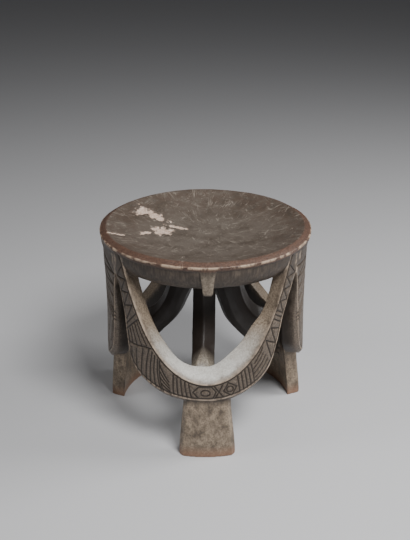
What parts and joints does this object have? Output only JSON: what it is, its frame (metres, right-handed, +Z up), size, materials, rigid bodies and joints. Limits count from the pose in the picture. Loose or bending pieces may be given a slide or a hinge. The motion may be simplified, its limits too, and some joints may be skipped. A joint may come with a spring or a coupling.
{
  "type": "carved wooden stool",
  "caption": "Low round stool with a dished seat on crescent-shaped legs with block feet and curved struts, cut from one piece of wood and carved with line patterns.",
  "frame": {"origin": "centre of the feet's plane, straight below the middle of the seat: bottom centre of the bounding box", "axes": "+Z up along the seat's axis, the shortest extent by a few millimetres; the front leg faces -Y, +X to its right"},
  "size_m": [0.3, 0.3, 0.296],
  "materials": {
    "wood": "old hand-carved hardwood, dark brown, worn to grey and tan on ledges and feet, reddish brown on the rim"
  },
  "bodies": {
    "root": {"carved_stool": "wood"}
  },
  "joints": []
}
